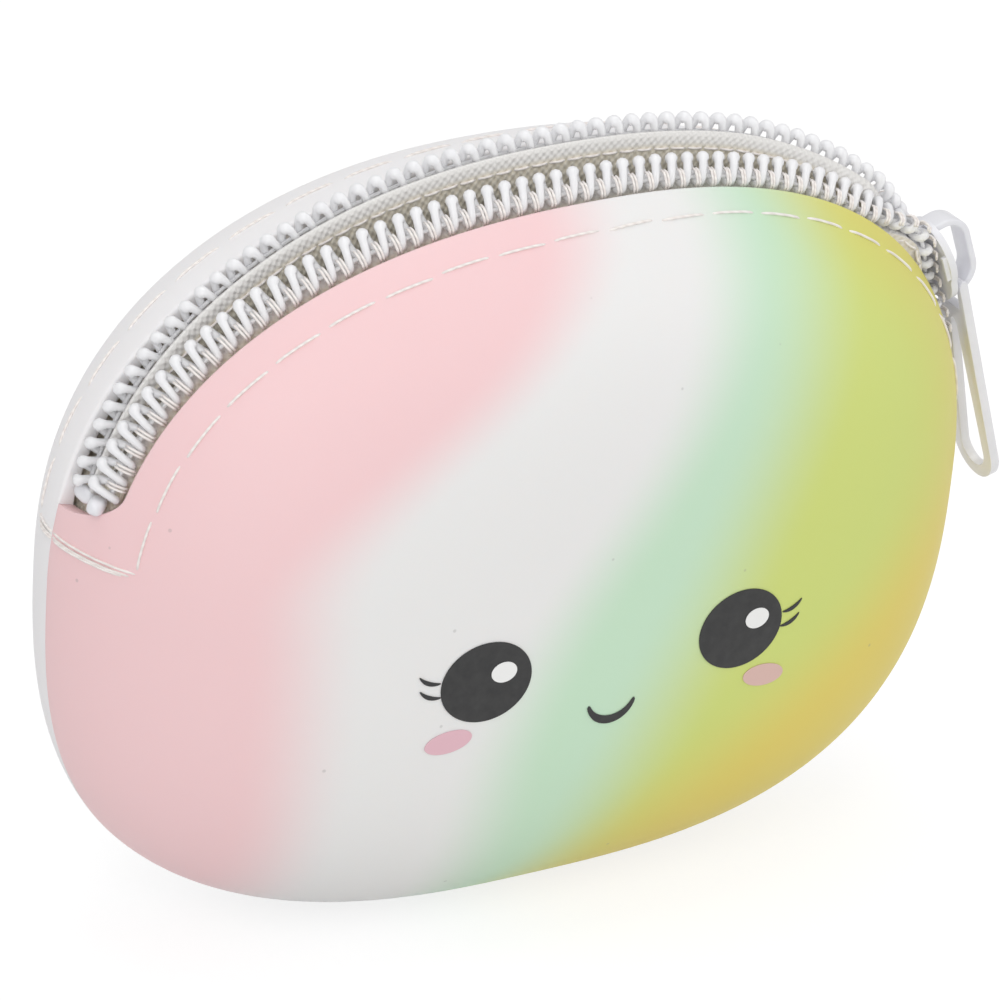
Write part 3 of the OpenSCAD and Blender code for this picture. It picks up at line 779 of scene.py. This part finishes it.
TAPE_HANG, TAPE_DEPTH, TAPE_THICK = 3.5, 2.1, 0.45
CORD_AT = 1.15
SEWING_RADIUS = 0.14


def tape_columns():
    turn = NOSE_ANGLE + LIFT_ANGLE + 2
    left = [mix(ROW_START + 1, turn, i / 70) for i in range(70)]
    return left + [mix(turn, ROW_END - 1, i / 50) for i in range(51)]


def tape_depths(side, t):
    """How far front to back a tape runs inside the wall."""
    rim = front_rim(t) if side < 0 else rear_rim(t)
    closed = [rim - 0.35, rim + 1.2, rim + 3.0, rim + 4.8, rim + 6]
    if side < 0:
        return closed
    return [mix(a, b, flat_share(t)) for a, b in zip((2.2, 3.4, 4.6, 5.6, 6.4), closed)]


def tape_line(side, t, extra):
    """One column of a tape's face, from its free edge under the coil to its sewn edge in the body.
    The rear tape hangs below its open row before it turns back to the wall."""
    tooth, out = row_frame(side, t)
    root = row_root(side, t)
    down = -(COIL_THK / 2 + 0.1 + extra) * out
    points = [root + k * TOOTH_LEN * tooth + down for k in (0.52, 0.35, 0.17, 0.0)]
    if side > 0:
        hang = mix(TAPE_HANG + extra, 0.2, flat_share(t))
        points += [root + down - hang * k * tooth for k in (0.4, 0.8, 1.0)]
    points += [dome_point(t, side * y, TAPE_DEPTH + extra) for y in tape_depths(side, t)]
    return points


def cloth(rings, run, across, name, material, body="shell"):
    """A skin through rings, with the place of each point along and across the cloth kept as a map."""
    bm, _ = loft(rings)
    laid = bm.loops.layers.uv.new("laid")
    bm.verts.index_update()
    for f in bm.faces:
        for loop in f.loops:
            ring, k = divmod(loop.vert.index, len(rings[0]))
            loop[laid].uv = (run[ring], across[k])
    return finished(bm, name, material, body)


def zip_tape_piece(side, name, material, body):
    """A tape as a skin of closed sections, with its length and width in millimetres kept as a map."""
    rings = []
    for t in tape_columns():
        near, far = tape_line(side, t, 0.0), tape_line(side, t, TAPE_THICK)
        rings.append(near + far[::-1])
    across = [0.0]
    middle = tape_line(side, 90, 0.0)
    for a, b in zip(middle, middle[1:]):
        across.append(across[-1] + (b - a).length)
    across = across + across[::-1]
    run = [0.0]
    for a, b in zip(rings, rings[1:]):
        run.append(run[-1] + (b[3] - a[3]).length)
    return cloth(rings, run, across, name, material, body)


def folded_end(material):
    """The tapes' folded ends, sewn together under the wall past the last curls."""
    rings = []
    for i in range(9):
        t = mix(ROW_START - 2.5, 180 - MOUTH_END + 2, i / 8)
        depths = [mix(-6, 5, k / 12) for k in range(13)]
        near = [beside(t, -2.6 - 0.012 * y * y, y) for y in depths]
        far = [beside(t, -3.1 - 0.012 * y * y, y) for y in depths]
        rings.append(near + far[::-1])
    run = [0.8 * i for i in range(9)]
    across = [2.0 + 0.9 * min(k, 25 - k) for k in range(26)]
    return cloth(rings, run, across, "folded_tape_ends", material)


def coil_line(side, curls, filament):
    """A coil's centre line: a flattened helix with bulging heads. Also its thickness along the line."""
    line, thickness, steps = [], [], 20
    for i in range(curls * steps + 1):
        turn = i / steps
        t = angle_at(ROWS, turn / curls)
        a = 2 * math.pi * turn + (0 if side < 0 else math.pi)
        tooth, out = row_frame(side, t)
        flat = flat_share(t)
        head = mix(0.62, 0.18, flat) * max(0.0, -math.cos(a)) ** 3
        half = filament / 2 * (1 + head)
        rise = mix(0.46, (COIL_THK - filament) / 2, flat)
        reach = tooth_len(side, t) / 2 - filament / 2
        along = filament / 2 + reach * (1 - math.cos(a)) - (half - filament / 2)
        lift = rise * math.copysign(abs(math.sin(a)) ** 0.8, math.sin(a))
        line.append(row_root(side, t) + along * tooth + lift * out)
        thickness.append(1.0 + head)
    return line, thickness


def cord_line(side, steps=260):
    """The line of the filler cord, which runs with a row through its curls."""
    line = []
    for i in range(steps + 1):
        t = angle_at(ROWS, mix(0.004, 0.996, i / steps))
        tooth, _ = row_frame(side, t)
        line.append(row_root(side, t) + CORD_AT * tooth)
    return line


def sewing(side, curls):
    """Pairs of thread across each valley between two curls, and the dashes they leave on the tape."""
    lines = []
    for i in range(curls):
        for shift in (0.66, 0.84):
            across = []
            for u in (0.0, 0.2, 0.4, 0.6, 0.8, 1.0):
                t = angle_at(ROWS, (i + shift) / curls)
                tooth, out = row_frame(side, t)
                level = mix(0.46, 0.95, flat_share(t)) + 0.34 - 0.5 * (2 * u - 1) ** 4
                across.append(row_root(side, t) + mix(-0.15, 2.0, u) * tooth + level * out)
            lines.append(across)
        dash = []
        for u in (0.08, 0.3, 0.5, 0.7, 0.92):
            t = angle_at(ROWS, (i + u) / curls)
            tooth, out = row_frame(side, t)
            level = -(COIL_THK / 2 + 0.55 + SEWING_RADIUS * 0.8) + 0.2 * (abs(u - 0.5) / 0.42) ** 3
            dash.append(row_root(side, t) - 0.15 * tooth + level * out)
        lines.append(dash)
    return lines


class PURSE_OT_zip(bpy.types.Operator):
    """Wind the coils, weave the tapes and sew them together"""

    bl_idname = "purse.zip"
    bl_label = "Coil zip"

    def execute(self, context):
        settings = context.scene.purse_zip
        nylon, tape = coil_nylon(settings), zip_tape(settings)
        folded_end(tape)
        thread = sewing_thread(context.scene.purse_stitches)
        for side, row, body in ((-1, "front", "lip"), (1, "rear", "shell")):
            piece = zip_tape_piece(side, row + "_woven_tape", tape, body)
            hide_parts(row + "_tape")
            line, thickness = coil_line(side, settings.curls, settings.filament)
            half = settings.filament / 2
            piece = tube_between([line], half, row + "_wound_coil", nylon, body, [thickness])
            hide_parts(row + "_coil")
            cord = [cord_line(side)]
            piece = tube_between(cord, settings.cord / 2, row + "_filler_cord", nylon, body)
            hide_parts(row + "_coil_cord")
            lines = sewing(side, settings.curls)
            piece = tube_between(lines, SEWING_RADIUS, row + "_coil_sewing", thread, body, resolution=2)
            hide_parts(row + "_coil_thread")
        return {"FINISHED"}


# Stitching through the wall


def wall_point(side, t, y, lift):
    """A point on the outside of the wall, lifted off it."""
    p = dome_point(t, side * y)
    along = dome_point(t + 0.5, side * y) - p
    back = dome_point(t, side * (y + 0.3)) - p
    n = along.cross(back).normalized()
    return p + lift * n * (1 if n.dot(p - Vector((0, 0, CENTRE_Z))) > 0 else -1)


def stitch_path(side, a, b, lift):
    """One stitch between two places, each an outline angle and a depth, with both ends sunk in the wall."""
    path = []
    for i in range(11):
        u = i / 10
        rise = lift * (1 - (2 * abs(u - 0.5)) ** 6 * 2.6)
        path.append(wall_point(side, mix(a[0], b[0], u), mix(a[1], b[1], u), rise))
    return path


STITCH_END = MOUTH_END - 4


def stitch_depth(side, t):
    return mouth_cut(t) + 3.3 if side < 0 else 4.5


class PURSE_OT_stitches(bpy.types.Operator):
    """Sew the rows of stitches beside the mouth, and the tacks at its ends"""

    bl_idname = "purse.stitches"
    bl_label = "Stitching"

    def execute(self, context):
        settings = context.scene.purse_stitches
        thread = sewing_thread(settings)
        radius = settings.thickness / 2
        wander = random.Random(7)
        for side, row, body in ((-1, "front", "lip"), (1, "rear", "shell")):
            table = measured(
                lambda t: dome_point(t, side * stitch_depth(side, t)),
                180 - STITCH_END,
                STITCH_END,
                300,
            )
            paths = []
            for i in range(settings.count):
                ends = []
                for sign in (-1, 1):
                    t = angle_at(table, (i + 0.5 + sign * settings.share / 2) / settings.count)
                    ends.append((t, stitch_depth(side, t) + wander.uniform(-0.12, 0.12)))
                paths.append(stitch_path(side, ends[0], ends[1], radius * 0.75))
            piece = tube_between(paths, radius, row + "_sewn_stitches", thread, body)
            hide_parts(row + "_seam_stitches")
        paths = []
        for mirrored in (False, True):
            for line in range(3):
                for side in (-1, 1):
                    t = STITCH_END - 0.6 * min(line, 1) - 0.3 * (line == 2)
                    t = 180 - t if mirrored else t
                    far = stitch_depth(side, t) - 0.5 * line
                    paths.append(stitch_path(side, (t, 0.0), (t, far), radius * (0.7 + 0.3 * (line == 2))))
        piece = tube_between(paths, radius * 0.95, "sewn_end_tacks", thread, "shell")
        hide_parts("end_tacks")
        return {"FINISHED"}


# Slider, pull and stops


def crimped_bead(cad_node, name, material, side):
    """A top stop as the press leaves it: a small cushion with no flat faces."""
    tooth, out = row_frame(side, ROW_START)
    axes = Matrix((tooth, out, tooth.cross(out)))
    turned = [axes @ (v.co * 1000) for v in bpy.data.objects[cad_node].data.vertices]
    low = Vector([min(p[k] for p in turned) for k in range(3)])
    high = Vector([max(p[k] for p in turned) for k in range(3)])
    bm = bmesh.new()
    bmesh.ops.create_uvsphere(bm, u_segments=40, v_segments=24, radius=1)
    for v in bm.verts:
        full = Vector([math.copysign(abs(c) ** 0.72, c) for c in v.co])
        turned = Vector([mix(low[k], high[k], 0.5 + 0.46 * full[k]) for k in range(3)])
        v.co = axes.transposed() @ turned
    made = finished(bm, name, material, "shell")
    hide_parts(cad_node)
    return made


class PURSE_OT_hardware(bpy.types.Operator):
    """Cast and paint the slider, its bail, the pull and the stops"""

    bl_idname = "purse.hardware"
    bl_label = "Slider and pull"

    def execute(self, context):
        settings = context.scene.purse_hardware
        paint = painted_zinc(settings)
        r = settings.rounding
        for cad_node, name, body, width in (
            ("slider_body", "cast_slider", "slider", r),
            ("slider_bail", "cast_bail", "slider", r),
            ("pull_tab", "looped_pull", "pull_tab", r * 1.6),
        ):
            rounded_copy(cad_node, name, paint, body, width)
        for side, row in ((-1, "front"), (1, "rear")):
            crimped_bead(row + "_top_stop", row + "_crimped_stop", paint, side)
        nylon = coil_nylon(context.scene.purse_zip)
        rounded_copy("bottom_stop", "moulded_bottom_stop", nylon, "shell", r)
        return {"FINISHED"}


# The printed face

EYE_X, EYE_Z, EYE_RX, EYE_RZ = 15.6, 36.4, 5.3, 4.7
CHEEK_X, CHEEK_Z, CHEEK_RX, CHEEK_RZ = 19.4, 29.8, 2.7, 1.35
SMILE_Z, SMILE_R = 31.6, 2.9
PRINT_LIFT = 0.03


def oval_film(bm, centre, rx, rz, tilt, lift, thick, sides=96, rings=8):
    """A printed oval that follows the dome: an upper face, a thin edge and an under face."""
    c, s = math.cos(math.radians(tilt)), math.sin(math.radians(tilt))

    def ring_at(r, n):
        points = []
        for j in range(sides):
            a = 2 * math.pi * j / sides
            x, z = r * rx * math.cos(a), r * rz * math.sin(a)
            points.append(face_point(centre[0] + x * c - z * s, centre[1] + x * s + z * c, n))
        return points

    levels = [(k / rings, lift) for k in range(1, rings + 1)]
    levels += [(k / rings, lift + thick) for k in range(rings, 0, -1)]
    ring = first_ring(bm, ring_at(*levels[0]))
    start = list(ring)
    for r, n in levels[1:]:
        ring = extrude_ring(bm, ring, ring_at(r, n))
    close_pole(bm, start, face_point(centre[0], centre[1], lift))
    close_pole(bm, ring, face_point(centre[0], centre[1], lift + thick))


def arc_film(bm, centre, radius, start, stop, thin, full, lift, thick, steps=40):
    """A printed stroke along an arc, thin at its ends and full in its middle, with rounded tips."""
    rings = []
    for i in range(steps + 1):
        u = i / steps
        a = math.radians(mix(start, stop, u))
        tip = math.sqrt(max(0.0, 1 - max(0.0, abs(2 * u - 1) - 0.94) ** 2 / 0.06**2))
        half = mix(thin, full, math.sin(math.pi * u)) / 2 * max(tip, 0.05)
        section = []
        for w, n in ((half, lift), (half, lift + thick), (-half, lift + thick), (-half, lift)):
            x = centre[0] + (radius + w) * math.cos(a)
            z = centre[1] + (radius + w) * math.sin(a)
            section.append(face_point(x, z, n))
        rings.append(section)
    loft(rings, bm=bm)


class PURSE_OT_print(bpy.types.Operator):
    """Print the face: two eyes with glints and lashes, a smile and cheek spots"""

    bl_idname = "purse.print"
    bl_label = "Printed face"

    def execute(self, context):
        settings = context.scene.purse_print
        thick = settings.lift
        dark = printed_ink("Dark printed ink", settings.dark, settings.dark, 0.42)
        glint = printed_ink("White printed ink", settings.glint, settings.glint, 0.4)
        cheek = printed_ink("Thin pink printed ink", settings.cheek_left, settings.cheek_right, 0.5)

        eyes, spots, cheeks, lashes, smile = (bmesh.new() for _ in range(5))
        for s in (-1, 1):
            oval_film(eyes, (s * EYE_X, EYE_Z), EYE_RX, EYE_RZ, 0, PRINT_LIFT, thick)
            oval_film(spots, (s * EYE_X + 1.95, EYE_Z + 0.9), 1.5, 1.2, 0, 0.05 + thick, thick, 64, 4)
            cheek_place = (s * CHEEK_X, CHEEK_Z)
            oval_film(cheeks, cheek_place, CHEEK_RX, CHEEK_RZ, s * -8, PRINT_LIFT, thick, 72, 5)
            for k in (0, 1):
                centre = (s * (EYE_X + EYE_RX * 0.98 + 0.5 - 0.15 * k), EYE_Z + 3.4 - 1.7 * k)
                start, stop = (262, 325) if s > 0 else (215, 278)
                arc_film(lashes, centre, 2.6, start, stop, 0.12, 0.5, PRINT_LIFT, thick, 24)
        arc_film(smile, (0, SMILE_Z), SMILE_R, 195, 345, 0.35, 1.0, PRINT_LIFT, thick)
        for bm, name, material, cad_node, slot in (
            (eyes, "printed_eyes", dark, "eye_prints", "dark_ink"),
            (spots, "printed_glints", glint, "eye_glints", "white_ink"),
            (cheeks, "printed_cheeks", cheek, "cheek_prints", "cheek_ink"),
            (lashes, "printed_lashes", dark, "lash_prints", "dark_ink"),
            (smile, "printed_smile", dark, "smile_print", "dark_ink"),
        ):
            piece = finished(bm, name, material, "shell", smooth_faces=False)
            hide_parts(cad_node)
        return {"FINISHED"}


# Floor, lamps and camera


FLOOR_RADIUS = 3.0
SKY_STRENGTH = 0.59
CAMERA_AIM = Vector((0, 0, 0.0392))
SENSOR_WIDTH = 36.0
LAMPS = (
    ("Key lamp", (-0.55, -0.6, 0.75), 0.5, 2.1),
    ("Top lamp", (0.05, 0.1, 0.95), 0.7, 1.9),
    ("Fill lamp", (0.75, -0.5, 0.35), 0.6, 1.2),
    ("Low lamp", (-0.5, -0.75, 0.12), 0.6, 1.5),
)


def studio_floor(settings):
    """Seamless white paper: the camera sees it at full white, less the purse's own soft shadow."""
    material = bpy.data.materials.new("Seamless white paper")
    material.use_nodes = True
    tree = material.node_tree
    tree.nodes.remove(tree.nodes["Principled BSDF"])
    path = node(tree, "ShaderNodeLightPath")
    seen = reckon(tree, "MAXIMUM", path.outputs["Is Camera Ray"], path.outputs["Is Glossy Ray"])
    seen = reckon(tree, "MAXIMUM", seen, path.outputs["Is Transmission Ray"])
    paper = node(tree, "ShaderNodeBsdfDiffuse", inputs={"Color": (*[0.7 * c for c in settings.floor], 1)})
    dim = node(tree, "ShaderNodeBsdfDiffuse", inputs={"Color": (*[0.3 * c for c in settings.floor], 1)})
    glow = node(tree, "ShaderNodeEmission", inputs={"Color": (*settings.floor, 1), "Strength": 0.78})
    shown = node(tree, "ShaderNodeAddShader", inputs={0: dim.outputs[0], 1: glow.outputs[0]})
    both = node(tree, "ShaderNodeMixShader", inputs={0: seen, 1: paper.outputs[0], 2: shown.outputs[0]})
    tree.links.new(both.outputs[0], tree.nodes["Material Output"].inputs["Surface"])
    return material


def add_lamp(name, place, size, power):
    """A round lamp that faces the middle of the purse."""
    aim = Vector((0, 0, 0.045))
    lamp = bpy.data.lights.new(name, "AREA")
    lamp.shape = "DISK"
    lamp.size = size
    lamp.energy = power
    holder = bpy.data.objects.new(name, lamp)
    bpy.context.scene.collection.objects.link(holder)
    holder.location = place
    holder.rotation_euler = (aim - Vector(place)).to_track_quat("-Z", "Y").to_euler()


class PURSE_OT_stage(bpy.types.Operator):
    """Set up the floor, the lamps and the camera"""

    bl_idname = "purse.stage"
    bl_label = "Stage"

    def execute(self, context):
        settings = context.scene.purse_stage
        bm = bmesh.new()
        bmesh.ops.create_circle(bm, cap_ends=True, segments=96, radius=FLOOR_RADIUS)
        mesh = mesh_from(bm, "floor")
        mesh.materials.append(studio_floor(settings))
        floor = bpy.data.objects.new("floor", mesh)
        context.scene.collection.objects.link(floor)

        world = bpy.data.worlds.new("Studio")
        context.scene.world = world
        world.use_nodes = True
        tree = world.node_tree
        path = node(tree, "ShaderNodeLightPath")
        strength = ranged(tree, path.outputs["Is Camera Ray"], at_low=SKY_STRENGTH)
        fill(tree, tree.nodes["Background"], {"Color": (1, 1, 1, 1), "Strength": strength})
        for lamp in LAMPS:
            add_lamp(*lamp)

        az, el, roll = (math.radians(a) for a in (settings.azimuth, settings.elevation, settings.roll))
        back = Vector((math.sin(az) * math.cos(el), -math.cos(az) * math.cos(el), math.sin(el)))
        right = Vector((math.cos(az), math.sin(az), 0))
        up = back.cross(right)
        c, s = math.cos(roll), math.sin(roll)
        right, up = right * c + up * s, up * c - right * s
        camera_data = bpy.data.cameras.new("Camera")
        camera_data.sensor_width = SENSOR_WIDTH
        camera_data.lens = settings.focal * SENSOR_WIDTH / 1000
        camera_data.shift_x = -0.0051
        camera_data.shift_y = 0.034467
        camera_data.clip_start = 0.01
        camera = bpy.data.objects.new("Camera", camera_data)
        context.scene.collection.objects.link(camera)
        turn = Matrix((right, up, back)).transposed().to_4x4()
        camera.matrix_world = Matrix.Translation(CAMERA_AIM + back * settings.distance) @ turn
        context.scene.camera = camera
        context.scene.view_settings.view_transform = "Standard"
        return {"FINISHED"}


class PURSE_PT_panel(bpy.types.Panel):
    """Lists the purse's steps and settings"""

    bl_idname = "PURSE_PT_panel"
    bl_label = "Squeeze coin purse"
    bl_space_type = "VIEW_3D"
    bl_region_type = "UI"
    bl_category = "Purse"

    def draw(self, context):
        for group in GROUPS:
            box = self.layout.box()
            box.operator(group.replace("_", "."))
            settings = getattr(context.scene, group)
            for name in type(settings).__annotations__:
                box.prop(settings, name)


GROUPS = {
    "purse_body": PurseBodySettings,
    "purse_zip": PurseZipSettings,
    "purse_stitches": PurseStitchSettings,
    "purse_hardware": PurseHardwareSettings,
    "purse_print": PursePrintSettings,
    "purse_stage": PurseStageSettings,
}
OPERATORS = (
    PURSE_OT_body,
    PURSE_OT_zip,
    PURSE_OT_stitches,
    PURSE_OT_hardware,
    PURSE_OT_print,
    PURSE_OT_stage,
)


def register():
    for group in GROUPS.values():
        bpy.utils.register_class(group)
    for name, group in GROUPS.items():
        setattr(bpy.types.Scene, name, PointerProperty(type=group))
    for operator in OPERATORS:
        bpy.utils.register_class(operator)
    bpy.utils.register_class(PURSE_PT_panel)


def unregister():
    bpy.utils.unregister_class(PURSE_PT_panel)
    for operator in reversed(OPERATORS):
        bpy.utils.unregister_class(operator)
    for name, group in GROUPS.items():
        delattr(bpy.types.Scene, name)
        bpy.utils.unregister_class(group)


def main():
    register()
    bpy.ops.purse.body()
    bpy.ops.purse.zip()
    bpy.ops.purse.stitches()
    bpy.ops.purse.hardware()
    bpy.ops.purse.print()
    bpy.ops.purse.stage()


if __name__ == "__main__":
    main()
